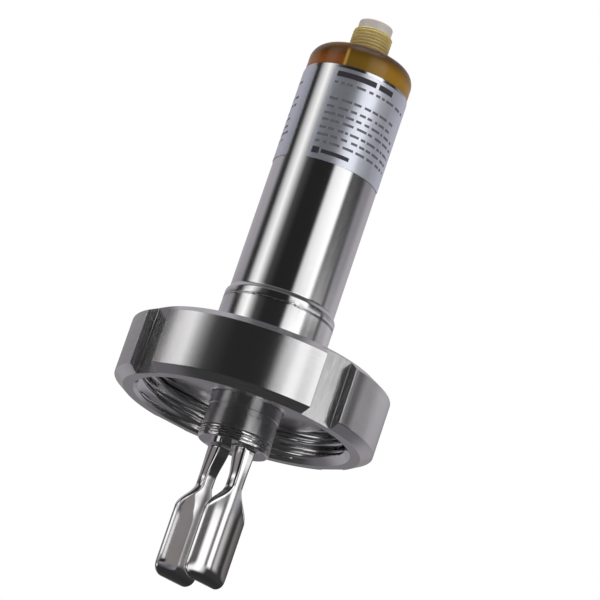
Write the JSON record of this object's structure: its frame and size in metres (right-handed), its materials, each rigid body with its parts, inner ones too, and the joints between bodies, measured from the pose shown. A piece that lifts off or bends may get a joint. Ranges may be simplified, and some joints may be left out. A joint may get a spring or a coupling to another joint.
{
  "type": "tuning fork level switch",
  "caption": "Compact vibrating fork level switch with a slotted dairy union nut, steel tube housing and translucent round plug cap.",
  "frame": {"origin": "centre of the adapter's lower sealing face, on the axis of the union nut's thread", "axes": "+Z along the axis from the fork towards the plug; the fork's blades are parallel to the XZ plane"},
  "size_m": [0.0778, 0.0778, 0.1767],
  "materials": {
    "polished_steel": "polished",
    "turned_steel": "satin",
    "nut_steel": "satin",
    "tube_steel": "polished",
    "amber_plastic": "gloss",
    "pale_plastic": "satin",
    "seal_rubber": "matte",
    "black_plastic": "matte",
    "board_laminate": "satin",
    "can_aluminium": "satin",
    "ferrite": "matte",
    "label_foil": "satin",
    "white_ceramic": "satin",
    "piezo_ceramic": "matte",
    "contact_metal": "satin",
    "red_insulation": "satin",
    "red_lamp": "gloss",
    "green_lamp": "gloss"
  },
  "bodies": {
    "sensor": {"fork": "polished_steel", "union_liner": "turned_steel", "housing_tube": "tube_steel", "connector_cap": "amber_plastic", "cap_seal": "seal_rubber", "contact_insert": "pale_plastic", "board_carrier": "black_plastic", "main_board": "board_laminate", "contact_board": "board_laminate", "controller_chip": "black_plastic", "output_chip": "black_plastic", "capacitor": "can_aluminium", "inductor": "ferrite", "rating_label": "label_foil", "side_label": "label_foil", "pressure_piece": "turned_steel", "lower_insulator": "white_ceramic", "upper_insulator": "white_ceramic", "clamp_screw": "turned_steel", "status_lamp_1": "red_lamp", "status_lamp_2": "green_lamp", "piezo_disc_1": "piezo_ceramic", "contact_pin_1": "contact_metal", "piezo_disc_2": "piezo_ceramic", "contact_pin_2": "contact_metal", "piezo_disc_3": "piezo_ceramic", "contact_pin_3": "contact_metal", "piezo_disc_4": "piezo_ceramic", "contact_pin_4": "contact_metal", "electrode_1": "contact_metal", "drive_lead_1": "red_insulation", "electrode_2": "contact_metal", "drive_lead_2": "red_insulation", "electrode_3": "contact_metal", "drive_lead_3": "red_insulation"},
    "nut": {"union_nut": "nut_steel"}
  },
  "joints": [
    {"name": "nut_spin", "type": "hinge", "parent": "sensor", "child": "nut", "pos_m": [0, 0, 0], "axis": [0, 0, 1], "continuous": true}
  ]
}
